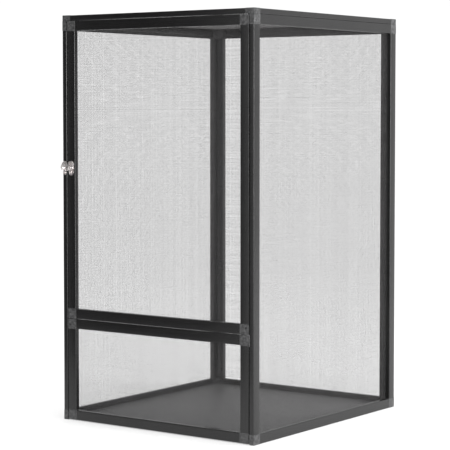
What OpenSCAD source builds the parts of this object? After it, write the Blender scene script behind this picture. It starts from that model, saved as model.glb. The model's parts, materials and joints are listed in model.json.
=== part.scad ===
// Tall screen terrarium: six framed mesh panels around a solid floor board.
// Every framed panel is four extruded bars, four moulded corner blocks,
// a sheet of wire mesh and the spline cord that holds the mesh in its groove.
// Origin: middle of the floor board's underside. The doors face -Y.

/* [Cage] */
// Outer width of the cage, left to right (mm)
cage_w = 432; // [300:1:700]
// Outer depth of the cage, front to back (mm)
cage_d = 476; // [300:1:700]
// Outer height of the cage (mm)
cage_h = 750; // [600:1:1200]
// Height of the seam between the two doors above the base (mm)
seam_z = 190; // [140:1:260]
// Thickness of the floor board (mm)
board_t = 8; // [7:0.5:9]

/* [Frame bars] */
// Width of a bar seen from the front (mm)
bar_w = 18; // [17:0.5:20]
// Width of the bar's hollow tube (mm)
tube_w = 13; // [12.5:0.1:13.5]
// Wall thickness of the bar (mm)
wall = 1.1; // [0.9:0.1:1.4]
// Leg of a corner block along the horizontal bar (mm)
block_u = 19; // [18.5:0.5:24]
// Leg of a corner block along the upright bar (mm)
block_v = 18.5; // [18.5:0.5:24]
// How far the face of a corner block stands proud of its bars (mm)
proud = 0.4; // [0.2:0.1:0.6]
// How far its outer edges stand proud of them (mm)
edge = 0.1; // [0:0.05:0.3]

/* [Doors] */
// Gap between a door and the side panels (mm)
side_gap = 1.6; // [1.2:0.1:2.4]
// Gap between the upper door and the top panel (mm)
head_gap = 0.8; // [0.6:0.1:2]
// Gap between the two doors (mm)
seam_gap = 0.9; // [0.9:0.1:2.4]
// Gap under the lower door (mm)
sill_gap = 1.5; // [1.5:0.1:3]
// Radius of the door pivot pins (mm)
pin_r = 2; // [1.8:0.1:2.2]
// Radial running clearance of the pivot pins (mm)
pin_fit = 0.05; // [0.02:0.01:0.1]

/* [Latch] */
// Height of the swing latch above the base (mm)
latch_z = 469; // [420:1:520]
// Radius of the latch post (mm)
post_r = 2.6; // [2:0.1:3]

/* [Hidden] */
$fn = 48;
e = 0.01;

panel_t = 9.5 + proud;              // block face to inner face
hw = cage_w / 2;
hd = cage_d / 2;
zt = cage_h - panel_t;              // underside of the top panel
groove_a = edge + tube_w + 0.3;     // spline groove, outer wall
groove_b = bar_w - 0.9;             // spline groove, lip side
lip_v = panel_t - 1.0;              // height of the lip that carries the mesh
groove_v = 4.5;                     // floor of the spline groove
mesh_t = 0.6;
skirt = 0.6;
cord_r = (groove_b - skirt - groove_a) / 2 - 0.02;

back_w = cage_w - 2 * panel_t - 0.4;
door_w = cage_w - 2 * panel_t - 2 * side_gap;
dz0 = seam_z + seam_gap / 2;        // upper door, bottom edge
dz1 = zt - head_gap;                // upper door, top edge
lz0 = sill_gap;                     // lower door, bottom edge
lz1 = seam_z - seam_gap / 2;        // lower door, top edge
dx = door_w / 2;

// Pivot lines
piv_in = 3.9;                       // pivot lines behind the front plane
up_x = dx - 5.5;                    // upper door pivot, x
lo_z = lz0 + 5.2;                   // lower door pivot, z
piv_y = -hd + piv_in;
board_y0 = -hd + 13;                // front edge of the floor board

// Latch positions
face_y = -hd + proud;               // front face of the doors' bars
keep_y = -hd + edge;                // front edge of the side panels' bars
keep_x = -hw + proud + 4.75;        // middle of the left panel's front edge
hub_x = -dx + edge + 9.4;           // middle of the door stile's flat face
reach = hub_x - keep_x;             // pivot to post
ink = [0.17, 0.17, 0.175];
moulded = [0.30, 0.30, 0.31];
nickel = [0.72, 0.70, 0.70];

// ---------- frame bar, along +x, outer edge at y = 0, face at z = 0 ----------
module bar_section() {
    a = edge;
    f = proud;
    difference() {
        polygon([
            [a + 1, f], [bar_w - 1.3, f], [bar_w - 0.38, f + 0.38], [bar_w, f + 1.3],
            [bar_w, lip_v], [groove_b, lip_v], [groove_b, groove_v], [groove_a, groove_v],
            [groove_a, panel_t - 0.3], [groove_a - 0.3, panel_t], [a + 0.8, panel_t],
            [a + 0.23, panel_t - 0.23], [a, panel_t - 0.8], [a, f + 1], [a + 0.29, f + 0.29]
        ]);
        polygon([
            [a + wall, f + wall], [groove_a - wall, f + wall],
            [groove_a - wall, panel_t - wall], [a + wall, panel_t - wall]
        ]);
    }
}

module bar(len) {
    color(ink) rotate([90, 0, 90]) linear_extrude(height = len) bar_section();
}

// ---------- corner block, outer corner at the origin, legs along +x and +y ----------
module block_outline(ro, ri) {
    difference() {
        square([block_u, block_v]);
        difference() {
            translate([-1, -1]) square([ro + 1, ro + 1]);
            translate([ro, ro]) circle(r = ro);
        }
        translate([block_u - ri, block_v - ri]) difference() {
            square([ri + 1, ri + 1]);
            circle(r = ri);
        }
    }
}

// tongue along +x, 0.15 clear of the bar's hollow all round
module tongue() {
    u0 = edge + wall + 0.15;
    v0 = proud + wall + 0.15;
    u1 = groove_a - wall - 0.15;
    v1 = panel_t - wall - 0.15;
    rotate([90, 0, 90]) linear_extrude(height = 22)
        polygon([[u0, v0], [u1, v0], [u1, v1], [u0, v1]]);
}

module corner_block(ro = 1.4) {
    color(moulded) union() {
        difference() {
            linear_extrude(height = panel_t) block_outline(ro, 1.6);
            // spline groove turning the corner
            translate([groove_a, groove_a, groove_v]) cube([block_u, groove_b - groove_a, panel_t]);
            translate([groove_a, groove_a, groove_v]) cube([groove_b - groove_a, block_v, panel_t]);
            // seat of the mesh
            translate([groove_b - e, groove_b - e, lip_v]) cube([block_u, block_v, panel_t]);
        }
        // tongues pressed into the hollow bars
        translate([block_u - e, 0, 0]) tongue();
        mirror([1, -1, 0]) translate([block_v - e, 0, 0]) tongue();
    }
}

// ---------- the pieces of a framed panel w by h, outer corner at the origin ----------
module rail_low(w) translate([block_u, 0, 0]) bar(w - 2 * block_u);
module rail_high(w, h) translate([0, h, 0]) mirror([0, 1, 0]) rail_low(w);
module stile_left(h) mirror([1, -1, 0]) translate([block_v, 0, 0]) bar(h - 2 * block_v);
module stile_right(w, h) translate([w, 0, 0]) mirror([1, 0, 0]) stile_left(h);

module blocks(w, h, ro = 1.4) {
    corner_block(ro);
    translate([w, 0, 0]) mirror([1, 0, 0]) corner_block(ro);
    translate([0, h, 0]) mirror([0, 1, 0]) corner_block(ro);
    translate([w, h, 0]) mirror([1, 0, 0]) mirror([0, 1, 0]) corner_block(ro);
}

// sheet of mesh lying on the lips, its edges turned down into the groove
module mesh_sheet(w, h) {
    m = groove_b - skirt;
    color([0.55, 0.55, 0.56]) difference() {
        translate([m, m, lip_v - 2.4]) cube([w - 2 * m, h - 2 * m, 2.4 + mesh_t]);
        translate([groove_b, groove_b, lip_v - 3]) cube([w - 2 * groove_b, h - 2 * groove_b, 3]);
    }
}

// spline cord pressed into the groove all round
module spline_loop(w, h) {
    c = groove_a + cord_r + 0.02;
    v = panel_t - cord_r - 0.5;
    color([0.10, 0.10, 0.10]) union() {
        for (y = [c, h - c]) translate([c, y, v]) rotate([0, 90, 0]) cylinder(r = cord_r, h = w - 2 * c, $fn = 24);
        for (x = [c, w - c]) translate([x, c, v]) rotate([-90, 0, 0]) cylinder(r = cord_r, h = h - 2 * c, $fn = 24);
        for (x = [c, w - c], y = [c, h - c]) translate([x, y, v]) sphere(r = cord_r, $fn = 24);
    }
}

// heights of the two screws in a latch plate h long with lobes w across
function plate_screw_zs(h, w) = [latch_z - (h - w) / 2, latch_z + (h - w) / 2];

// ---------- where the panels stand ----------
module at_left() translate([-hw, -hd, 0]) rotate([90, 0, 90]) children();
module at_right() mirror([1, 0, 0]) at_left() children();
module at_back() translate([-back_w / 2, hd, 0]) rotate([90, 0, 0]) children();
module at_top() translate([-hw, -hd, cage_h]) mirror([0, 0, 1]) children();
module at_upper_door() translate([-dx, -hd, dz0]) mirror([0, 1, 0]) rotate([90, 0, 0]) children();
module at_lower_door() translate([-dx, -hd, lz0]) mirror([0, 1, 0]) rotate([90, 0, 0]) children();

// ---------- holes shared by the pieces they join ----------
dowel_r = 2;
dowel_x = hw - panel_t;             // inner face of a side panel
floor_dowel_z = 4;
function dowel_zs() = [14.5, zt - 14.5];
function floor_dowel_ys() = [-hd + 15.9, hd - 15.9];

// back panel to side panels
module dowel_set(len, r) {
    for (s = [-1, 1], z = dowel_zs())
        translate([s * dowel_x, hd - 5, z]) rotate([0, 90, 0])
            cylinder(r = r, h = len, center = true);
}

// floor board to side panels
module floor_dowel_set(len, r) {
    for (s = [-1, 1], y = floor_dowel_ys())
        translate([s * dowel_x, y, floor_dowel_z]) rotate([0, 90, 0])
            cylinder(r = r, h = len, center = true);
}

function top_screw_spots() = [
    [-hw + 5, -hd + 10.5], [hw - 5, -hd + 10.5],
    [-hw + 5, hd - 10.5], [hw - 5, hd - 10.5],
    [-hw + panel_t + 6, hd - 5], [hw - panel_t - 6, hd - 5]
];

// countersunk wood-type screw, head up, head flush at z = 0
module csk_screw(len, rs, rh) {
    difference() {
        rotate_extrude() polygon([[0, 0], [rh, 0], [rh, -0.4], [rs, -0.4 - (rh - rs)], [rs, -len + 1.5], [0, -len]]);
        for (a = [0, 90]) rotate([0, 0, a]) translate([-rh * 0.62, -0.35, -0.8]) cube([rh * 1.24, 0.7, 2]);
    }
}

// small pan-head screw, head up, underside of the head at z = 0
module pan_screw(len, rs, rh, hh) {
    difference() {
        rotate_extrude() polygon([[0, hh], [rh * 0.6, hh], [rh * 0.9, hh * 0.65], [rh, hh * 0.2], [rh, 0], [rs, 0], [rs, -len], [0, -len]]);
        for (a = [0, 90]) rotate([0, 0, a]) translate([-rh * 0.6, -0.25, hh - 0.5]) cube([rh * 1.2, 0.5, 2]);
    }
}

module csk_hole(len, rs, rh) {
    rotate_extrude() polygon([[0, 1], [rh, 1], [rh, -0.4], [rs, -0.4 - (rh - rs)], [rs, -len], [0, -len]]);
}

module top_screw_holes() {
    for (p = top_screw_spots()) translate([p[0], p[1], cage_h - proud]) csk_hole(22, 1.5, 3);
}

// ---------- left and right panels ----------
module left_panel_front_stile() color(ink) difference() {
    at_left() stile_left(zt);
    for (z = plate_screw_zs(25.5, 9)) translate([keep_x, face_y - 1, z]) rotate([-90, 0, 0]) cylinder(r = 1.1, h = 6);
}
module left_panel_rear_stile() at_left() stile_right(cage_d, zt);
module left_panel_top_rail() at_left() rail_high(cage_d, zt);
module left_panel_bottom_rail() at_left() rail_low(cage_d);
module left_panel_corner_blocks() color(moulded) difference() {
    at_left() blocks(cage_d, zt);
    dowel_set(12, dowel_r);
    floor_dowel_set(12, dowel_r);
    top_screw_holes();
    lower_pivot_set(pin_r, 0);
}
module left_panel_mesh() at_left() mesh_sheet(cage_d, zt);
module left_panel_spline() at_left() spline_loop(cage_d, zt);

module right_panel_front_stile() color(ink) difference() {
    at_right() stile_left(zt);
    for (z = rivet_zs()) translate([dowel_x, -hd + 6, z]) rotate([0, 90, 0]) cylinder(r = 1.2, h = 2 * wall + 1, center = true);
}
module right_panel_rear_stile() at_right() stile_right(cage_d, zt);
module right_panel_top_rail() at_right() rail_high(cage_d, zt);
module right_panel_bottom_rail() at_right() rail_low(cage_d);
module right_panel_corner_blocks() color(moulded) difference() {
    at_right() blocks(cage_d, zt);
    dowel_set(12, dowel_r);
    floor_dowel_set(12, dowel_r);
    top_screw_holes();
    lower_pivot_set(pin_r, 0);
}
module right_panel_mesh() at_right() mesh_sheet(cage_d, zt);
module right_panel_spline() at_right() spline_loop(cage_d, zt);

// ---------- back panel, between the side panels ----------
module back_panel_left_stile() at_back() stile_left(zt);
module back_panel_right_stile() at_back() stile_right(back_w, zt);
module back_panel_top_rail() at_back() rail_high(back_w, zt);
module back_panel_bottom_rail() at_back() rail_low(back_w);
module back_panel_corner_blocks() color(moulded) difference() {
    at_back() blocks(back_w, zt);
    dowel_set(12, dowel_r);
    top_screw_holes();
}
module back_panel_mesh() at_back() mesh_sheet(back_w, zt);
module back_panel_spline() at_back() spline_loop(back_w, zt);

// ---------- top panel, lying on the other three ----------
module top_panel_front_rail() at_top() rail_low(cage_w);
module top_panel_rear_rail() at_top() rail_high(cage_w, cage_d);
module top_panel_left_rail() at_top() stile_left(cage_d);
module top_panel_right_rail() at_top() stile_right(cage_w, cage_d);
module top_panel_corner_blocks() color(moulded) difference() {
    at_top() blocks(cage_w, cage_d);
    top_screw_holes();
    // bearing of the upper door's top pin
    translate([up_x, piv_y, zt - 1]) cylinder(r = pin_r + pin_fit, h = 6.4);
}
module top_panel_mesh() at_top() mesh_sheet(cage_w, cage_d);
module top_panel_spline() at_top() spline_loop(cage_w, cage_d);

// ---------- upper door ----------
pin_in = 9;                         // depth of a pivot pin in its corner block
dot_x = up_x + 0.3;
dot_z = dz0 + pin_in + 2.6;
module upper_door_left_stile() color(ink) difference() {
    at_upper_door() stile_left(dz1 - dz0);
    for (z = plate_screw_zs(26.5, 11.4)) translate([hub_x, face_y - 1, z]) rotate([-90, 0, 0]) cylinder(r = 1.1, h = 6);
}
module upper_door_right_stile() at_upper_door() stile_right(door_w, dz1 - dz0);
module upper_door_top_rail() at_upper_door() rail_high(door_w, dz1 - dz0);
module upper_door_bottom_rail() at_upper_door() rail_low(door_w);
module upper_door_corner_blocks() color(moulded) difference() {
    at_upper_door() blocks(door_w, dz1 - dz0);
    translate([up_x, piv_y, dz0 - 1]) cylinder(r = pin_r, h = pin_in + 1);
    translate([up_x, piv_y, dz1 - pin_in]) cylinder(r = pin_r, h = pin_in + 1);
    translate([dot_x, -hd, dot_z]) rotate([90, 0, 0]) csk_hole(5.6, 0.8, 1.5);
}
module upper_door_mesh() at_upper_door() mesh_sheet(door_w, dz1 - dz0);
module upper_door_spline() at_upper_door() spline_loop(door_w, dz1 - dz0);

module upper_door_pivot_pins() color(nickel) {
    translate([up_x, piv_y, seam_z - tab_t / 2]) cylinder(r = pin_r, h = dz0 + pin_in - seam_z + tab_t / 2);
    translate([up_x, piv_y, dz1 - pin_in]) cylinder(r = pin_r, h = pin_in + head_gap + 5);
}
module pin_retaining_screw() color([0.12, 0.12, 0.12])
    translate([dot_x, -hd, dot_z]) rotate([90, 0, 0]) csk_screw(5.6, 0.8, 1.5);

// angle with one leaf on the right panel and a tab in the seam between the doors
leaf_t = 0.9;
tab_t = 0.5;
module pivot_bracket() color([0.35, 0.35, 0.36]) difference() {
    union() {
        translate([dowel_x - leaf_t, -hd + 1.2, seam_z - 20]) cube([leaf_t, 10, 20 + tab_t / 2]);
        translate([up_x, piv_y - 3.2, seam_z - tab_t / 2]) cube([dowel_x - up_x - leaf_t + e, 6.4, tab_t]);
        translate([up_x, piv_y, seam_z - tab_t / 2]) cylinder(r = 3.2, h = tab_t);
    }
    translate([up_x, piv_y, seam_z - 2]) cylinder(r = pin_r + pin_fit, h = 4);
    for (z = rivet_zs()) translate([dowel_x, -hd + 6, z]) rotate([0, 90, 0]) cylinder(r = 1.2, h = 6, center = true);
}
function rivet_zs() = [seam_z - 15, seam_z - 6];
module bracket_rivets() color([0.5, 0.5, 0.5])
    for (z = rivet_zs()) translate([dowel_x - leaf_t, -hd + 6, z]) rotate([0, 90, 0]) cylinder(r = 1.2, h = leaf_t + wall);

// ---------- lower door, a flap turning on two pins at its bottom corners ----------
module lower_pivot_set(r, c) {
    for (s = [-1, 1]) translate([s * (dowel_x - 2.4), piv_y, lo_z]) rotate([0, 90, 0])
        cylinder(r = r + c, h = 15, center = true);
}
module lower_door_left_stile() at_lower_door() stile_left(lz1 - lz0);
module lower_door_right_stile() at_lower_door() stile_right(door_w, lz1 - lz0);
module lower_door_top_rail() at_lower_door() rail_high(door_w, lz1 - lz0);
module lower_door_bottom_rail() at_lower_door() rail_low(door_w);
strike_x = -dx + 4.6;
strike_z = lz1 - 11;
module lower_door_corner_blocks() color(moulded) difference() {
    at_lower_door() blocks(door_w, lz1 - lz0);
    for (s = [-1, 1]) translate([s * dx, piv_y, lo_z]) rotate([0, 90, 0])
        cylinder(r = pin_r + pin_fit, h = 18, center = true);
    translate([strike_x, -hd, strike_z]) rotate([90, 0, 0]) csk_hole(20, 0.8, 1.5);
}
module lower_door_mesh() at_lower_door() mesh_sheet(door_w, lz1 - lz0);
module lower_door_spline() at_lower_door() spline_loop(door_w, lz1 - lz0);
module lower_door_pivot_pins() color(nickel) lower_pivot_set(pin_r, 0);

// magnet behind the flap's top left corner, and the steel strike it pulls on
module catch_strike() color([0.55, 0.55, 0.56]) difference() {
    translate([-dx + 0.6, -hd + panel_t, strike_z - 7]) cube([11.4, 0.8, 14]);
    translate([strike_x, -hd + panel_t - 1, strike_z]) rotate([-90, 0, 0]) cylinder(r = 0.8, h = 3);
}
module strike_screw() color([0.12, 0.12, 0.12])
    translate([strike_x, -hd, strike_z]) rotate([90, 0, 0]) csk_screw(panel_t + 0.8, 0.8, 1.5);
module catch_magnet() color([0.13, 0.13, 0.14])
    translate([-hw + panel_t, -hd + panel_t + 1.2, strike_z - 8]) difference() {
        cube([13.5, 7.6, 16]);
        translate([7.2, -1, 5.6]) rotate([-90, 0, 0]) cylinder(r = 1.6, h = 2);
    }

// ---------- floor board ----------
module floor_board() color([0.33, 0.33, 0.34]) difference() {
    translate([-dowel_x + 0.15, board_y0, 0]) cube([2 * dowel_x - 0.3, hd - panel_t - 0.15 - board_y0, board_t]);
    floor_dowel_set(12, dowel_r);
}

// ---------- dowels and screws ----------
module panel_dowels() color(nickel) dowel_set(12, dowel_r);
module floor_dowels() color(nickel) floor_dowel_set(12, dowel_r);
module top_screws() color([0.15, 0.15, 0.15])
    for (p = top_screw_spots()) translate([p[0], p[1], cage_h - proud]) csk_screw(22, 1.5, 3);

// ---------- swing latch ----------
module lobed_plate(w, h, t) {
    linear_extrude(height = t) difference() {
        union() {
            square([w * 0.74, h - w], center = true);
            for (s = [-1, 1]) translate([0, s * (h - w) / 2]) circle(d = w);
            circle(d = w * 1.02);
        }
        for (s = [-1, 1]) translate([0, s * (h - w) / 2]) circle(r = 1.1);
    }
}

plate_t = 1.2;
hook_t = 2.6;
hook_v = 3.4;                       // back of the hook in front of the bars
module on_front(x, y = face_y) translate([x, y, latch_z]) rotate([90, 0, 0]) children();

module latch_base_plate() color(nickel) on_front(hub_x) difference() {
    union() {
        lobed_plate(11.4, 26.5, plate_t);
        cylinder(r = 4.2, h = hook_v - 0.2);
    }
    translate([0, 0, -1]) cylinder(r = 1.6, h = 10);
}
module latch_rivet() color([0.8, 0.79, 0.78]) on_front(hub_x) rotate_extrude()
    polygon([[0, 0], [1.6, 0], [1.6, hook_v + hook_t + 0.2], [3.6, hook_v + hook_t + 0.2],
             [3.3, hook_v + hook_t + 1.1], [2.2, hook_v + hook_t + 1.8], [0, hook_v + hook_t + 2.0]]);
module latch_screws() color(nickel) on_front(hub_x)
    for (s = [-1, 1]) translate([0, s * (26.5 - 11.4) / 2, plate_t]) pan_screw(5, 1.1, 2.1, 0.9);

module keeper_plate() color(nickel) on_front(keep_x, keep_y) union() {
    lobed_plate(9, 25.5, plate_t);
    translate([0, 0, plate_t - e]) rotate_extrude() polygon([
        [0, 0], [post_r + 0.9, 0], [post_r + 0.7, 0.6], [post_r, 1.1], [post_r, 6.1],
        [post_r * 0.86, 6.8], [post_r * 0.5, 7.3], [0, 7.5]]);
}
module keeper_screws() color(nickel) on_front(keep_x, keep_y)
    for (s = [-1, 1]) translate([0, s * (25.5 - 9) / 2, plate_t]) pan_screw(5, 1.1, 1.9, 0.9);

// the swinging hook: hub, finger ring above it, beak that drops over the post
module latch_hook() color([0.76, 0.74, 0.73]) on_front(hub_x) translate([0, 0, hook_v])
    linear_extrude(height = hook_t) difference() {
        union() {
            circle(r = 5.4);
            translate([2.4, 7.2]) circle(r = 5.8);
            intersection() {
                polygon([[0, 5.2], [-5, 7.6], [-reach + 2, 12.2], [-reach - 1.6, 11.4], [-reach - 5.6, 3.2],
                         [-reach - 6.2, 0.6], [-reach - 5, -2.8], [-reach, -4.2], [0, -5.2]]);
                circle(r = reach + 5.9);
            }
        }
        translate([2.4, 7.6]) circle(r = 2.9);
        circle(r = 1.65);
        // slot for the post, cut along its path about the pivot
        translate([-reach, 0]) circle(r = post_r + 0.3);
        intersection() {
            difference() {
                circle(r = reach + post_r + 0.3);
                circle(r = reach - post_r - 0.3);
            }
            translate([-reach - 12, -14]) square([reach + 12, 14]);
        }
    }

// ---------- drawing ----------
left_panel_front_stile();
left_panel_rear_stile();
left_panel_top_rail();
left_panel_bottom_rail();
left_panel_corner_blocks();
left_panel_mesh();
left_panel_spline();
right_panel_front_stile();
right_panel_rear_stile();
right_panel_top_rail();
right_panel_bottom_rail();
right_panel_corner_blocks();
right_panel_mesh();
right_panel_spline();
back_panel_left_stile();
back_panel_right_stile();
back_panel_top_rail();
back_panel_bottom_rail();
back_panel_corner_blocks();
back_panel_mesh();
back_panel_spline();
top_panel_front_rail();
top_panel_rear_rail();
top_panel_left_rail();
top_panel_right_rail();
top_panel_corner_blocks();
top_panel_mesh();
top_panel_spline();
upper_door_left_stile();
upper_door_right_stile();
upper_door_top_rail();
upper_door_bottom_rail();
upper_door_corner_blocks();
upper_door_mesh();
upper_door_spline();
lower_door_left_stile();
lower_door_right_stile();
lower_door_top_rail();
lower_door_bottom_rail();
lower_door_corner_blocks();
lower_door_mesh();
lower_door_spline();
floor_board();
panel_dowels();
floor_dowels();
top_screws();
upper_door_pivot_pins();
pivot_bracket();
bracket_rivets();
pin_retaining_screw();
lower_door_pivot_pins();
catch_magnet();
catch_strike();
strike_screw();
latch_base_plate();
latch_rivet();
latch_hook();
latch_screws();
keeper_plate();
keeper_screws();
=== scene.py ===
import json
import math
import random

import bmesh
import bpy
import numpy as np
from mathutils import Matrix, Vector


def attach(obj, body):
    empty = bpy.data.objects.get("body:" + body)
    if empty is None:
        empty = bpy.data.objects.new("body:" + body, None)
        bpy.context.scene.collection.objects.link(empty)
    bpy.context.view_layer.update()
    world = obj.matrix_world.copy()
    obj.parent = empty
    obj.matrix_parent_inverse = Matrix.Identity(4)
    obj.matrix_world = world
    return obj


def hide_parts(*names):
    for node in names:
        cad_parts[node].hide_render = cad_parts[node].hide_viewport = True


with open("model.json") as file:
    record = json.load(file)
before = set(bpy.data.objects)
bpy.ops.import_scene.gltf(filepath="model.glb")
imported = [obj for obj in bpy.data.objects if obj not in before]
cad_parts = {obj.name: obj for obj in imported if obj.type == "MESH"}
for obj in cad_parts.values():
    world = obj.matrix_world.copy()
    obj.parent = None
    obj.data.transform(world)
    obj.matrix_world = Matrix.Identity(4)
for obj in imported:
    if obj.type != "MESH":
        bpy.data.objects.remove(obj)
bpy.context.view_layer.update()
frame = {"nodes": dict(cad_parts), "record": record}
N = frame["nodes"]
MM = 0.001

# ------------------------------------------------------------------ sizes, in mm, as in the CAD
W, D, H = 432.0, 476.0, 750.0
SEAM, BOARD_T = 190.0, 8.0
BAR, TUBE, WALL, PROUD, EDGE = 18.0, 13.0, 1.1, 0.4, 0.1
LEG_U, LEG_V = 19.0, 18.5
PT = 9.5 + PROUD
HW, HD = W / 2, D / 2
ZT = H - PT
GA, GB = EDGE + TUBE + 0.3, BAR - 0.9
LIP, GF = PT - 1.0, 4.5
SKIRT = 0.6
BACK_W = W - 2 * PT - 0.4
DOOR_W = W - 2 * PT - 3.2
DX = DOOR_W / 2
DZ0, DZ1 = SEAM + 0.45, ZT - 0.8
LZ0, LZ1 = 1.5, SEAM - 0.45
UP_X, PIV_Y = DX - 5.5, -HD + 3.9
LATCH_Z = 469.0
FACE_Y = -HD + PROUD
KEEP_X = -HW + PROUD + 4.75
HUB_X = -DX + EDGE + 9.4
CORD_R = (GB - SKIRT - GA) / 2 - 0.02


def affine(cols, at):
    m = Matrix.Identity(4)
    for c in range(3):
        for r in range(3):
            m[r][c] = cols[c][r]
    for r in range(3):
        m[r][3] = at[r]
    return m


# local x along the low rail, y along the left stile, z inward from the outer face
PANELS = {
    "left_panel": (affine([(0, 1, 0), (0, 0, 1), (1, 0, 0)], (-HW, -HD, 0)), D, ZT, "cage"),
    "right_panel": (affine([(0, 1, 0), (0, 0, 1), (-1, 0, 0)], (HW, -HD, 0)), D, ZT, "cage"),
    "back_panel": (affine([(1, 0, 0), (0, 0, 1), (0, -1, 0)], (-BACK_W / 2, HD, 0)), BACK_W, ZT, "cage"),
    "top_panel": (affine([(1, 0, 0), (0, 1, 0), (0, 0, -1)], (-HW, -HD, H)), W, D, "cage"),
    "upper_door": (affine([(1, 0, 0), (0, 0, 1), (0, 1, 0)], (-DX, -HD, DZ0)), DOOR_W, DZ1 - DZ0, "upper_door"),
    "lower_door": (affine([(1, 0, 0), (0, 0, 1), (0, 1, 0)], (-DX, -HD, LZ0)), DOOR_W, LZ1 - LZ0, "lower_door"),
}
BAR_NODES = {
    "left_panel": ("front_stile", "rear_stile", "bottom_rail", "top_rail"),
    "right_panel": ("front_stile", "rear_stile", "bottom_rail", "top_rail"),
    "back_panel": ("left_stile", "right_stile", "bottom_rail", "top_rail"),
    "top_panel": ("left_rail", "right_rail", "front_rail", "rear_rail"),
    "upper_door": ("left_stile", "right_stile", "bottom_rail", "top_rail"),
    "lower_door": ("left_stile", "right_stile", "bottom_rail", "top_rail"),
}

# ------------------------------------------------------------------ node helpers


class Mat:
    """A procedural material on one Principled shader, in object coordinates."""

    def __init__(self, name, **sockets):
        self.m = bpy.data.materials.new(name)
        self.m.use_nodes = True
        self.t = self.m.node_tree
        self.p = self.t.nodes["Principled BSDF"]
        for k, v in sockets.items():
            self.p.inputs[k.replace("_", " ")].default_value = v
        self.bumped = None

    def n(self, kind, links=(), **values):
        node = self.t.nodes.new(kind)
        for k, v in values.items():
            if k.startswith("in_"):
                key = k[3:]
                node.inputs[int(key) if key.isdigit() else key].default_value = v
            else:
                setattr(node, k, v)
        for key, src in links:
            self.t.links.new(src, node.inputs[key])
        return node

    def coords(self, scale=(1, 1, 1), uv=False):
        tc = self.n("ShaderNodeTexCoord")
        mp = self.n("ShaderNodeMapping", [(0, tc.outputs["UV" if uv else "Object"])])
        mp.inputs["Scale"].default_value = scale
        return mp.outputs[0]

    def noise(self, where, scale, detail=3.0, rough=0.55, distortion=0.0):
        nz = self.n("ShaderNodeTexNoise", [("Vector", where)])
        nz.inputs["Scale"].default_value = scale
        nz.inputs["Detail"].default_value = detail
        nz.inputs["Roughness"].default_value = rough
        nz.inputs["Distortion"].default_value = distortion
        return nz.outputs[0]

    def ramp(self, src, stops):
        r = self.n("ShaderNodeValToRGB", [(0, src)])
        e = r.color_ramp.elements
        while len(e) < len(stops):
            e.new(0.5)
        for el, (pos, col) in zip(e, stops):
            el.position = pos
            el.color = (*col, 1) if len(col) == 3 else col
        return r.outputs[0]

    def remap(self, src, lo, hi, a=0.0, b=1.0):
        r = self.n("ShaderNodeMapRange", [(0, src)])
        r.inputs[1].default_value, r.inputs[2].default_value = a, b
        r.inputs[3].default_value, r.inputs[4].default_value = lo, hi
        return r.outputs[0]

    def mix(self, fac, a, b, blend="MIX"):
        node = self.n("ShaderNodeMix", data_type="RGBA", blend_type=blend)
        for key, v in ((0, fac), (6, a), (7, b)):
            if isinstance(v, (int, float)):
                node.inputs[key].default_value = v
            elif isinstance(v, tuple):
                node.inputs[key].default_value = (*v, 1)
            else:
                self.t.links.new(v, node.inputs[key])
        return node.outputs[2]

    def bump(self, height, strength, distance=0.0002):
        b = self.n("ShaderNodeBump", [("Height", height)])
        b.inputs["Strength"].default_value = strength
        b.inputs["Distance"].default_value = distance
        if self.bumped is not None:
            self.t.links.new(self.bumped, b.inputs["Normal"])
        self.bumped = b.outputs[0]
        self.t.links.new(self.bumped, self.p.inputs["Normal"])

    def to(self, socket, src):
        self.t.links.new(src, self.p.inputs[socket])


def make_frame_paint():
    m = Mat("black_frame", Specular_IOR_Level=0.5)
    o = m.coords()
    u = m.coords((6, 700, 1), uv=True)
    cloud = m.noise(o, 14, 4)
    streak = m.noise(u, 1.0, 3, 0.6)
    fine = m.noise(o, 900, 2)
    base = m.ramp(cloud, [(0.3, (0.0058, 0.0056, 0.0058)), (0.7, (0.0090, 0.0087, 0.0090))])
    base = m.mix(m.remap(streak, 0.0, 0.35, 0.45, 0.75), base, (0.014, 0.0136, 0.0139))
    m.to("Base Color", base)
    m.to("Roughness", m.remap(m.mix(0.4, fine, streak), 0.24, 0.34, 0.3, 0.7))
    m.bump(streak, 0.05, 0.00008)
    m.bump(fine, 0.12, 0.00006)
    return m.m


def make_moulded():
    m = Mat("moulded_corner", Specular_IOR_Level=0.45)
    o = m.coords()
    cloud = m.noise(o, 210, 4, 0.7)
    grain = m.noise(o, 1500, 2, 0.6)
    base = m.ramp(cloud, [(0.36, (0.028, 0.028, 0.029)), (0.50, (0.050, 0.050, 0.051)), (0.64, (0.100, 0.100, 0.101))])
    m.to("Base Color", base)
    m.to("Roughness", m.remap(cloud, 0.36, 0.50, 0.3, 0.7))
    m.bump(cloud, 0.10, 0.0003)
    m.bump(grain, 0.22, 0.00008)
    return m.m


def make_wire():
    m = Mat("wire_mesh", Metallic=0.1, Specular_IOR_Level=0.25)
    o = m.coords()
    cloud = m.noise(o, 60, 3)
    fine = m.noise(o, 1300, 2)
    base = m.ramp(cloud, [(0.3, (0.105, 0.102, 0.103)), (0.7, (0.140, 0.137, 0.138))])
    base = m.mix(m.remap(fine, 0.0, 0.4, 0.4, 0.7), base, (0.085, 0.082, 0.083))
    m.to("Base Color", base)
    m.to("Roughness", m.remap(fine, 0.35, 0.55, 0.3, 0.7))
    return m.m


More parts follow.
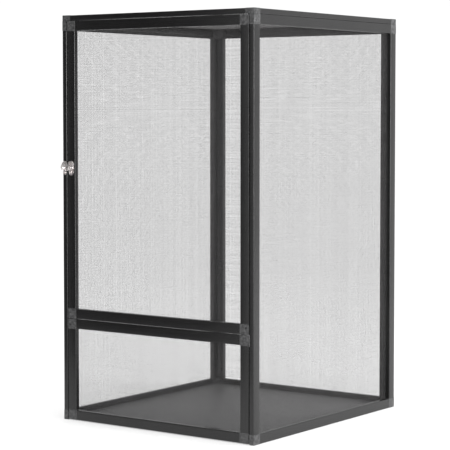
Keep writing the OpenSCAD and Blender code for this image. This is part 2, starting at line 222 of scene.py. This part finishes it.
def make_cord():
    m = Mat("spline_cord", Specular_IOR_Level=0.35)
    o = m.coords()
    u = m.coords((1, 1, 1), uv=True)
    w = m.n("ShaderNodeTexWave", [("Vector", u)], wave_type="BANDS", bands_direction="X", wave_profile="SIN")
    w.inputs["Scale"].default_value = 210.0
    fine = m.noise(o, 700, 3)
    base = m.ramp(fine, [(0.3, (0.012, 0.012, 0.0125)), (0.7, (0.026, 0.026, 0.027))])
    m.to("Base Color", base)
    m.to("Roughness", m.remap(fine, 0.55, 0.75, 0.3, 0.7))
    m.bump(w.outputs[1], 0.5, 0.0003)
    m.bump(fine, 0.15, 0.0001)
    return m.m


def make_board():
    m = Mat("board", Specular_IOR_Level=0.12)
    o = m.coords()
    big = m.noise(o, 9, 4, 0.6)
    grain = m.noise(o, 420, 4, 0.65)
    base = m.ramp(grain, [(0.3, (0.082, 0.082, 0.083)), (0.7, (0.104, 0.104, 0.105))])
    base = m.mix(m.remap(big, 0.0, 0.5, 0.3, 0.7), base, (0.110, 0.110, 0.111))
    m.to("Base Color", base)
    m.to("Roughness", m.remap(big, 0.46, 0.58, 0.3, 0.7))
    m.bump(grain, 0.10, 0.0001)
    return m.m


def make_metal(name, colour, dark, rough=(0.16, 0.30), metallic=1.0, scratch=0.25, scale=900, uneven=0.0):
    m = Mat(name, Metallic=metallic)
    o = m.coords()
    a = m.noise(m.coords((1, 14, 1)), scale / 6, 3)
    fine = m.noise(o, scale, 3, 0.6)
    cloud = m.noise(o, 120, 3)
    base = m.mix(m.remap(cloud, 0.0, 1.0, 0.35, 0.7), colour, dark)
    m.to("Base Color", base)
    m.to("Roughness", m.remap(m.mix(0.5, fine, a), rough[0], rough[1], 0.35, 0.65))
    m.bump(a, scratch * 0.3, 0.00003)
    m.bump(fine, scratch * 0.4, 0.00002)
    if uneven:
        m.bump(m.noise(o, 330, 2), uneven, 0.0009)
    return m.m


MATS = {
    "black_frame": make_frame_paint(),
    "moulded_corner": make_moulded(),
    "wire_mesh": make_wire(),
    "spline_cord": make_cord(),
    "board": make_board(),
    "pin_steel": make_metal("pin_steel", (0.55, 0.55, 0.56), (0.42, 0.42, 0.43), (0.22, 0.36)),
    "black_screw": make_metal("black_screw", (0.030, 0.030, 0.032), (0.018, 0.018, 0.020), (0.34, 0.5), 0.6),
    "plate_steel": make_metal("plate_steel", (0.42, 0.42, 0.42), (0.33, 0.33, 0.34), (0.28, 0.42)),
    "magnet_case": make_metal("magnet_case", (0.020, 0.020, 0.021), (0.030, 0.030, 0.031), (0.42, 0.56), 0.0),
    "latch_nickel": make_metal("latch_nickel", (0.95, 0.90, 0.89), (0.62, 0.57, 0.56), (0.10, 0.20), 0.85, uneven=0.7),
}
SLOT = {s["node"]: s["material_slot"] for s in frame["record"]["subparts"]}

# ------------------------------------------------------------------ mesh helpers


def new_piece(name, bm_or_data, matrix, node, smooth_angle=32.0):
    """Adds a piece that stands for a CAD node, with its normals outward and its body and finish set."""
    if isinstance(bm_or_data, bmesh.types.BMesh):
        bm = bm_or_data
    else:
        bm = bmesh.new()
        bm.from_mesh(bm_or_data)
    if matrix is not None:
        bmesh.ops.transform(bm, matrix=matrix, verts=bm.verts)
    bmesh.ops.scale(bm, vec=(MM, MM, MM), verts=bm.verts)
    bmesh.ops.recalc_face_normals(bm, faces=bm.faces)
    me = bpy.data.meshes.new(name)
    bm.to_mesh(me)
    bm.free()
    ob = bpy.data.objects.new(name, me)
    bpy.context.scene.collection.objects.link(ob)
    me.materials.append(MATS[SLOT[node]])
    for p in me.polygons:
        p.use_smooth = True
    me.set_sharp_from_angle(angle=math.radians(smooth_angle))
    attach(ob, BODY[node])
    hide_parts(node)
    return ob


BODY = {n: b for b, ns in frame["record"]["behaviour"]["bodies"].items() for n in ns}


def fillet_loop(points):
    """A closed outline with each corner given as (x, y, radius, steps)."""
    out = []
    n = len(points)
    for i, (x, y, r, k) in enumerate(points):
        if r <= 0 or k < 1:
            out.append((x, y))
            continue
        p = Vector((x, y))
        a = (Vector(points[i - 1][:2]) - p).normalized()
        b = (Vector(points[(i + 1) % n][:2]) - p).normalized()
        half = math.acos(max(-1, min(1, a.dot(b)))) / 2
        cut = r / math.tan(half)
        c = p + (a + b).normalized() * (r / math.sin(half))
        s, e = p + a * cut - c, p + b * cut - c
        ang = math.atan2(s.x * e.y - s.y * e.x, s.dot(e))
        for j in range(k + 1):
            t = ang * j / k
            out.append((c.x + s.x * math.cos(t) - s.y * math.sin(t), c.y + s.x * math.sin(t) + s.y * math.cos(t)))
    return out


def bar_outline(r_out=1.0, r_back=0.8):
    return fillet_loop([
        (EDGE, PROUD, r_out, 7), (BAR, PROUD, 1.3, 8),
        (BAR, LIP, 0.22, 2), (GB, LIP, 0.2, 2), (GB, GF, 0.25, 2), (GA, GF, 0.25, 2),
        (GA, PT, 0.35, 3), (EDGE, PT, r_back, 6),
    ])


def bar_mesh(length, *radii):
    """One extruded bar along +x from 0, outer edge at y = 0, face at z = 0, with its hollow and UVs along its length."""
    outer = bar_outline(*radii)
    inner = fillet_loop([
        (EDGE + WALL, PROUD + WALL, 0.4, 2), (EDGE + WALL, PT - WALL, 0.4, 2),
        (GA - WALL, PT - WALL, 0.4, 2), (GA - WALL, PROUD + WALL, 0.4, 2),
    ])
    bm = bmesh.new()
    uv = bm.loops.layers.uv.new("UVMap")
    xs = [0.0, length]

    def tube(loop):
        rings = [[bm.verts.new((x, p[0], p[1])) for p in loop] for x in xs]
        run = [0.0]
        for i in range(len(loop)):
            a, b = loop[i], loop[(i + 1) % len(loop)]
            run.append(run[-1] + math.hypot(a[0] - b[0], a[1] - b[1]))
        for k in range(len(xs) - 1):
            for i in range(len(loop)):
                j = (i + 1) % len(loop)
                f = bm.faces.new((rings[k][i], rings[k][j], rings[k + 1][j], rings[k + 1][i]))
                for lp, (s, t) in zip(f.loops, ((xs[k], run[i]), (xs[k], run[i + 1]), (xs[k + 1], run[i + 1]), (xs[k + 1], run[i]))):
                    lp[uv].uv = (s * MM, t * MM)
        return rings

    ro, ri = tube(outer), tube(inner)
    for k in (0, -1):
        edges = []
        for ring in (ro[k], ri[k]):
            for i in range(len(ring)):
                edges.append(bm.edges.get((ring[i], ring[(i + 1) % len(ring)])))
        made = bmesh.ops.triangle_fill(bm, edges=edges, use_beauty=True)
        for f in made["geom"]:
            if isinstance(f, bmesh.types.BMFace):
                for lp in f.loops:
                    lp[uv].uv = (lp.vert.co.y * MM, lp.vert.co.z * MM)
    return bm


def local_bar(kind, w, h):
    """Matrix that puts a bar of the given kind in its panel, and its length."""
    flip = Matrix(((0, 1, 0, 0), (1, 0, 0, 0), (0, 0, 1, 0), (0, 0, 0, 1)))
    if kind == "low":
        return Matrix.Translation((LEG_U, 0, 0)), w - 2 * LEG_U
    if kind == "high":
        return Matrix.Translation((0, h, 0)) @ Matrix.Diagonal((1, -1, 1, 1)) @ Matrix.Translation((LEG_U, 0, 0)), w - 2 * LEG_U
    if kind == "left":
        return flip @ Matrix.Translation((LEG_V, 0, 0)), h - 2 * LEG_V
    return Matrix.Translation((w, 0, 0)) @ Matrix.Diagonal((-1, 1, 1, 1)) @ flip @ Matrix.Translation((LEG_V, 0, 0)), h - 2 * LEG_V


def build_bars():
    for panel, (mat, w, h, body) in PANELS.items():
        # the doors close on crisp edges, the cage's own corners are a little rounder
        radii = (0.45, 0.8) if panel.endswith("door") else (1.0, 1.2)
        for kind, part in zip(("left", "right", "low", "high"), BAR_NODES[panel]):
            place, length = local_bar(kind, w, h)
            node = f"{panel}_{part}"
            new_piece(f"{node}_extrusion", bar_mesh(length, *radii), mat @ place, node)


# ------------------------------------------------------------------ corner blocks


def rounded_rect(w, h, radii, inset, k=5):
    """Outline of a w by h rectangle moved in by inset, with a radius at each of its four corners."""
    pts = []
    for (cx, cy, sx, sy, a0), r in zip(((0, 0, 1, 1, 180), (w, 0, -1, 1, 270), (w, h, -1, -1, 0), (0, h, 1, -1, 90)), radii):
        q = max(r - inset, 0.02)
        x, y = cx + sx * (inset + q), cy + sy * (inset + q)
        for j in range(k + 1):
            t = math.radians(a0 + 90 * j / k)
            pts.append((x + q * math.cos(t), y + q * math.sin(t)))
    return pts


def lofted(sections):
    """A closed solid through outlines of equal count, each (outline, z)."""
    bm = bmesh.new()
    rings = [[bm.verts.new((x, y, z)) for x, y in loop] for loop, z in sections]
    n = len(rings[0])
    for a, b in zip(rings, rings[1:]):
        for i in range(n):
            j = (i + 1) % n
            bm.faces.new((a[i], a[j], b[j], b[i]))
    bm.faces.new(rings[0][::-1])
    bm.faces.new(rings[-1])
    return bm


def as_object(bm, name="tmp"):
    bmesh.ops.recalc_face_normals(bm, faces=bm.faces)
    me = bpy.data.meshes.new(name)
    bm.to_mesh(me)
    bm.free()
    ob = bpy.data.objects.new(name, me)
    bpy.context.scene.collection.objects.link(ob)
    return ob


def cut(target, cutters):
    """Cuts the solids in cutters away from target and returns the evaluated mesh."""
    for c in cutters:
        mod = target.modifiers.new("cut", "BOOLEAN")
        mod.operation = "DIFFERENCE"
        mod.solver = "EXACT"
        mod.object = c
    bpy.context.view_layer.update()
    me = bpy.data.meshes.new_from_object(target.evaluated_get(bpy.context.evaluated_depsgraph_get()))
    for o in [target, *cutters]:
        old = o.data
        bpy.data.objects.remove(o)
        bpy.data.meshes.remove(old)
    return me


def box_bm(lo, hi):
    bm = bmesh.new()
    bmesh.ops.create_cube(bm, size=1.0)
    for v in bm.verts:
        v.co = [lo[i] + (v.co[i] + 0.5) * (hi[i] - lo[i]) for i in range(3)]
    return bm


def block_mesh(r_out):
    """One moulded corner block with rounded outer edges, the spline groove turning its corner and two tongues."""
    radii = (r_out, 0.35, 1.6, 0.35)
    r = 0.85 if r_out > 1 else 0.5
    sections = []
    for j in range(6):
        t = math.radians(90 * j / 5)
        sections.append((rounded_rect(LEG_U, LEG_V, radii, r * (1 - math.sin(t))), r * (1 - math.cos(t))))
    sections.append((rounded_rect(LEG_U, LEG_V, radii, 0), PT - 0.35))
    sections.append((rounded_rect(LEG_U, LEG_V, radii, 0.1), PT - 0.1))
    sections.append((rounded_rect(LEG_U, LEG_V, radii, 0.35), PT))
    body = as_object(lofted(sections), "block")
    cutters = [
        as_object(box_bm((GA, GA, GF), (GA + 40, GB, PT + 5)), "c1"),
        as_object(box_bm((GA, GB - 0.5, GF), (GB, GA + 40, PT + 5)), "c2"),
        as_object(box_bm((GB - 0.01, GB - 0.01, LIP), (60, 60, PT + 5)), "c3"),
    ]
    me = cut(body, cutters)
    bm = bmesh.new()
    bm.from_mesh(me)
    bpy.data.meshes.remove(me)
    # tongues inside the hollow bars
    u0, u1 = EDGE + WALL + 0.15, GA - WALL - 0.15
    v0, v1 = PROUD + WALL + 0.15, PT - WALL - 0.15
    for lo, hi in (((LEG_U - 0.3, u0, v0), (LEG_U + 22, u1, v1)), ((u0, LEG_V - 0.3, v0), (u1, LEG_V + 22, v1))):
        t = box_bm(lo, hi)
        bmesh.ops.bevel(t, geom=list(t.edges), offset=0.4, segments=3, profile=0.5, affect="EDGES")
        tm = bpy.data.meshes.new("tongue")
        t.to_mesh(tm)
        t.free()
        bm.from_mesh(tm)
        bpy.data.meshes.remove(tm)
    out = bpy.data.meshes.new("block_template")
    bm.to_mesh(out)
    bm.free()
    return out


def cone_bm(depth, rs, rh, k=28):
    """Cutter for a countersunk hole, mouth at z = 0, going down."""
    prof = [(rh, 1.5), (rh, -0.4), (rs, -0.4 - (rh - rs)), (rs, -depth)]
    bm = bmesh.new()
    rings = [[bm.verts.new((r * math.cos(2 * math.pi * i / k), r * math.sin(2 * math.pi * i / k), z)) for i in range(k)] for r, z in prof]
    for a, b in zip(rings, rings[1:]):
        for i in range(k):
            j = (i + 1) % k
            bm.faces.new((a[i], a[j], b[j], b[i]))
    bm.faces.new(rings[0][::-1])
    bm.faces.new(rings[-1])
    return bm


TOP_SCREWS = [(-HW + 5, -HD + 10.5), (HW - 5, -HD + 10.5), (-HW + 5, HD - 10.5), (HW - 5, HD - 10.5), (-HW + PT + 6, HD - 5), (HW - PT - 6, HD - 5)]
DOT = (UP_X + 0.3, DZ0 + 11.6)
STRIKE = (-DX + 4.6, LZ1 - 11.0)


def build_blocks():
    templates = {False: block_mesh(1.4), True: block_mesh(0.6)}
    for panel, (mat, w, h, body) in PANELS.items():
        template = templates[panel.endswith("door")]
        bm = bmesh.new()
        for m in (
            Matrix.Identity(4),
            Matrix.Translation((w, 0, 0)) @ Matrix.Diagonal((-1, 1, 1, 1)),
            Matrix.Translation((0, h, 0)) @ Matrix.Diagonal((1, -1, 1, 1)),
            Matrix.Translation((w, h, 0)) @ Matrix.Diagonal((-1, -1, 1, 1)),
        ):
            one = template.copy()
            one.transform(mat @ m)
            if (mat @ m).determinant() < 0:
                one.flip_normals()
            bm.from_mesh(one)
            bpy.data.meshes.remove(one)
        holes = []
        if panel == "top_panel":
            for x, y in TOP_SCREWS:
                c = cone_bm(12, 1.52, 3.08)
                bmesh.ops.translate(c, vec=(x, y, H - PROUD), verts=c.verts)
                holes.append(c)
        if panel in ("upper_door", "lower_door"):
            x, z = DOT if panel == "upper_door" else STRIKE
            c = cone_bm(5.6, 0.82, 1.55)
            bmesh.ops.transform(c, matrix=Matrix.Translation((x, -HD, z)) @ Matrix.Rotation(math.pi / 2, 4, "X"), verts=c.verts)
            holes.append(c)
        if holes:
            me = cut(as_object(bm, "blocks"), [as_object(c, f"hole{i}") for i, c in enumerate(holes)])
        else:
            me = bpy.data.meshes.new("blocks")
            bm.to_mesh(me)
            bm.free()
        node = f"{panel}_corner_blocks"
        new_piece(f"{node}_moulded", me, None, node, 40)
        bpy.data.meshes.remove(me)
    for template in templates.values():
        bpy.data.meshes.remove(template)


# ------------------------------------------------------------------ wire mesh

PITCH, WIRE = 1.5, (0.22, 0.155)
SIDES = 6


def wires(count_at, along, v_level, w_in, rng, axis):
    """Vertices and faces of wires that run along one axis of a panel, turned down into the groove at both ends."""
    verts, faces = [], []
    lo, hi = w_in
    r = WIRE[axis] / 2
    play = (0.22, 0.08)[axis] * PITCH
    ring = [(math.cos(2 * math.pi * (k + 0.5) / SIDES) * r, math.sin(2 * math.pi * (k + 0.5) / SIDES) * r) for k in range(SIDES)]
    for c in count_at:
        j = c + rng.uniform(-play, play)
        base = len(verts)
        # up out of the groove, over the lip, across, and down again; the last two turn the wire's section with its path
        for x, v, sx, sv in ((lo, LIP - 2.3, -1, 0), (lo, v_level, -1, 1), (hi, v_level, 1, 1), (hi, LIP - 2.3, 1, 0)):
            for a, b in ring:
                p = (x + sx * b, j + a, v + sv * b)
                verts.append(p if axis == 0 else (p[1], p[0], p[2]))
        for seg in range(3):
            for k in range(SIDES):
                n = (k + 1) % SIDES
                a0 = base + seg * SIDES
                faces.append((a0 + k, a0 + n, a0 + SIDES + n, a0 + SIDES + k))
        faces.append(tuple(base + k for k in range(SIDES))[::-1])
        faces.append(tuple(base + 3 * SIDES + k for k in range(SIDES)))
    return verts, faces


def build_mesh():
    for i, (panel, (mat, w, h, body)) in enumerate(PANELS.items()):
        rng = random.Random(100 + i)
        m = GB - SKIRT / 2
        verts, faces = [], []
        for axis, (across, run, lvl) in enumerate(((h, w, LIP + 0.2), (w, h, LIP + 0.4))):
            a, b = GB + 1.0, across - GB - 1.0
            n = int(round((b - a) / PITCH))
            at = [a + (b - a) * k / n for k in range(n + 1)]
            vs, fs = wires(at, run, lvl, (m, run - m), rng, axis)
            base = len(verts)
            verts += vs
            faces += [tuple(base + q for q in f) for f in fs]
        co = np.array(verts)
        M = np.array(mat)
        co = (co @ M[:3, :3].T + M[:3, 3]) * MM
        me = bpy.data.meshes.new(f"{panel}_mesh_wires")
        me.from_pydata(co.tolist(), [], faces)
        me.update()
        bm = bmesh.new()
        bm.from_mesh(me)
        bmesh.ops.recalc_face_normals(bm, faces=bm.faces)
        bm.to_mesh(me)
        bm.free()
        for p in me.polygons:
            p.use_smooth = True
        me.set_sharp_from_angle(angle=math.radians(75))
        node = f"{panel}_mesh"
        ob = bpy.data.objects.new(f"{node}_wires", me)
        bpy.context.scene.collection.objects.link(ob)
        me.materials.append(MATS["wire_mesh"])
        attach(ob, body)
        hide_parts(node)


# ------------------------------------------------------------------ spline cord


def build_splines():
    k = 10
    for panel, (mat, w, h, body) in PANELS.items():
        c = GA + CORD_R + 0.02
        z = PT - CORD_R - 0.5
        rc = 1.6
        centre = []
        for (cx, cy, a0) in ((w - c - rc, c + rc, 270), (w - c - rc, h - c - rc, 0), (c + rc, h - c - rc, 90), (c + rc, c + rc, 180)):
            for j in range(7):
                t = math.radians(a0 + 15 * j)
                centre.append((cx + rc * math.cos(t), cy + rc * math.sin(t), math.cos(t), math.sin(t)))
        # a ring about every 12 mm along the straights
        full = []
        for i, p in enumerate(centre):
            full.append(p)
            q = centre[(i + 1) % len(centre)]
            d = math.hypot(p[0] - q[0], p[1] - q[1])
            for s in range(1, int(d // 12)):
                f = s / (d // 12)
                full.append((p[0] + (q[0] - p[0]) * f, p[1] + (q[1] - p[1]) * f, p[2], p[3]))
        bm = bmesh.new()
        uv = bm.loops.layers.uv.new("UVMap")
        rings = [[bm.verts.new((x + nx * CORD_R * math.cos(2 * math.pi * q / k), y + ny * CORD_R * math.cos(2 * math.pi * q / k), z + CORD_R * math.sin(2 * math.pi * q / k))) for q in range(k)] for x, y, nx, ny in full]
        run = 0.0
        for i in range(len(rings)):
            a, b = rings[i], rings[(i + 1) % len(rings)]
            p, q = full[i], full[(i + 1) % len(full)]
            nxt = run + math.hypot(p[0] - q[0], p[1] - q[1])
            for s in range(k):
                t = (s + 1) % k
                f = bm.faces.new((a[s], a[t], b[t], b[s]))
                for lp, uvv in zip(f.loops, ((run, s), (run, s + 1), (nxt, s + 1), (nxt, s))):
                    lp[uv].uv = (uvv[0] * MM, uvv[1] * 0.001)
            run = nxt
        node = f"{panel}_spline"
        new_piece(f"{node}_cord", bm, mat, node, 80)


# ------------------------------------------------------------------ CAD nodes with bevelled edges


def refined(node, width, segments=3, angle=28, name=None):
    """A copy of a CAD node's shape with its sharp edges rounded."""
    bm = bmesh.new()
    bm.from_mesh(N[node].data)
    bmesh.ops.scale(bm, vec=(1000, 1000, 1000), verts=bm.verts)
    bmesh.ops.remove_doubles(bm, verts=bm.verts, dist=0.002)
    bmesh.ops.dissolve_limit(bm, angle_limit=math.radians(1.0), verts=bm.verts, edges=bm.edges)
    edges = [e for e in bm.edges if len(e.link_faces) == 2 and e.calc_face_angle() > math.radians(angle)]
    bmesh.ops.bevel(bm, geom=edges, offset=width, segments=segments, profile=0.5, affect="EDGES", clamp_overlap=True)
    return new_piece(name or f"{node}_finished", bm, None, node, 35)


build_bars()
build_blocks()
build_mesh()
build_splines()
for node, width in (
    ("floor_board", 0.5), ("latch_base_plate", 0.45), ("latch_hook", 0.55), ("keeper_plate", 0.45),
    ("latch_rivet", 0.15), ("latch_screws", 0.1), ("keeper_screws", 0.1),
    ("pivot_bracket", 0.15), ("catch_strike", 0.15), ("catch_magnet", 0.5),
):
    refined(node, width)
for n, ob in N.items():
    if not ob.hide_render:
        ob.data.materials.clear()
        ob.data.materials.append(MATS[SLOT[n]])

# ------------------------------------------------------------------ stage, light and camera


def stage_mesh():
    """A pale flat floor that glows evenly and reaches far behind the cage."""
    bm = bmesh.new()
    bmesh.ops.create_grid(bm, x_segments=2, y_segments=2, size=30.0)
    me = bpy.data.meshes.new("studio_floor")
    bm.to_mesh(me)
    bm.free()
    ob = bpy.data.objects.new("studio_floor", me)
    bpy.context.scene.collection.objects.link(ob)
    m = Mat("studio_floor", Roughness=0.8, Specular_IOR_Level=0.1)
    cloud = m.noise(m.coords(), 0.6, 2)
    m.to("Base Color", m.ramp(cloud, [(0.3, (0.52, 0.52, 0.52)), (0.7, (0.53, 0.53, 0.53))]))
    m.to("Emission Color", m.ramp(cloud, [(0.3, (0.97, 0.97, 0.97)), (0.7, (1.0, 1.0, 1.0))]))
    m.p.inputs["Emission Strength"].default_value = 0.48
    me.materials.append(m.m)
    return ob


stage_mesh()

world = bpy.data.worlds.new("studio")
bpy.context.scene.world = world
world.use_nodes = True
world.node_tree.nodes["Background"].inputs[0].default_value = (1, 1, 1, 1)
world.node_tree.nodes["Background"].inputs[1].default_value = 1.04


def area(name, at, to, size, power, size_y=None):
    ld = bpy.data.lights.new(name, "AREA")
    ld.shape = "RECTANGLE"
    ld.size, ld.size_y = size, size_y or size
    ld.energy = power
    ob = bpy.data.objects.new(name, ld)
    bpy.context.scene.collection.objects.link(ob)
    ob.location = at
    ob.rotation_euler = (Vector(to) - Vector(at)).to_track_quat("-Z", "Y").to_euler()
    ob.visible_camera = False
    return ob


area("softbox_top", (0.4, -0.3, 3.4), (0, 0, 0.3), 3.0, 14)
area("softbox_low", (1.5, -0.4, 1.3), (0.35, -0.1, 0), 0.7, 10)
right = area("softbox_right", (2.0, 1.2, 0.8), (0.1, 0.0, 0.3), 1.0, 40)
right.visible_glossy = False


def card(name, corners, dark, grey):
    """A dark card beside the set that only gloss sees: the fronts of the bars mirror it. It greys toward its last side."""
    bm = bmesh.new()
    bm.faces.new([bm.verts.new(p) for p in corners])
    me = bpy.data.meshes.new(name)
    bm.to_mesh(me)
    bm.free()
    ob = bpy.data.objects.new(name, me)
    bpy.context.scene.collection.objects.link(ob)
    m = Mat(name, Roughness=0.9, Specular_IOR_Level=0.1)
    xyz = m.n("ShaderNodeSeparateXYZ", [(0, m.coords())])
    across = m.remap(xyz.outputs[0], 0.0, 1.0, corners[0][0], corners[1][0])
    m.to("Base Color", m.ramp(across, [(0.0, (dark * 3,) * 3), (0.3, (dark,) * 3), (0.74, (dark,) * 3), (1.0, (grey,) * 3)]))
    me.materials.append(m.m)
    ob.visible_camera = ob.visible_diffuse = ob.visible_shadow = ob.visible_transmission = False


card("flag_card", ((-0.85, -0.72, 0.0), (-0.06, -0.72, 0.0), (-0.06, -0.72, 1.3), (-0.85, -0.72, 1.3)), 0.02, 0.6)

# a tall softbox beside the camera, seen only by gloss: it lights the bars' rounded edges
strip = area("softbox_strip", (3.0, -2.6, 0.8), (0, 0, 0.6), 2.6, 150, 1.4)
strip.visible_diffuse = False

AZ, PITCH_DOWN = math.radians(35.926), math.radians(3.013)
cam_data = bpy.data.cameras.new("photo_camera")
cam_data.sensor_width = 36.0
cam_data.lens = 135.41
cam_data.shift_y = -0.06  # the photograph's uprights are parallel
cam_data.clip_start, cam_data.clip_end = 0.05, 200
cam = bpy.data.objects.new("photo_camera", cam_data)
bpy.context.scene.collection.objects.link(cam)
cam.location = (1.8655, -2.5990, 0.5780)
cam.rotation_euler = (math.pi / 2 - PITCH_DOWN, 0, AZ)
bpy.context.scene.camera = cam

sc = bpy.context.scene
sc.cycles.denoising_input_passes = "RGB"
sc.view_settings.view_transform = "Standard"
sc.view_settings.look = "None"
sc.view_settings.exposure = 0.0
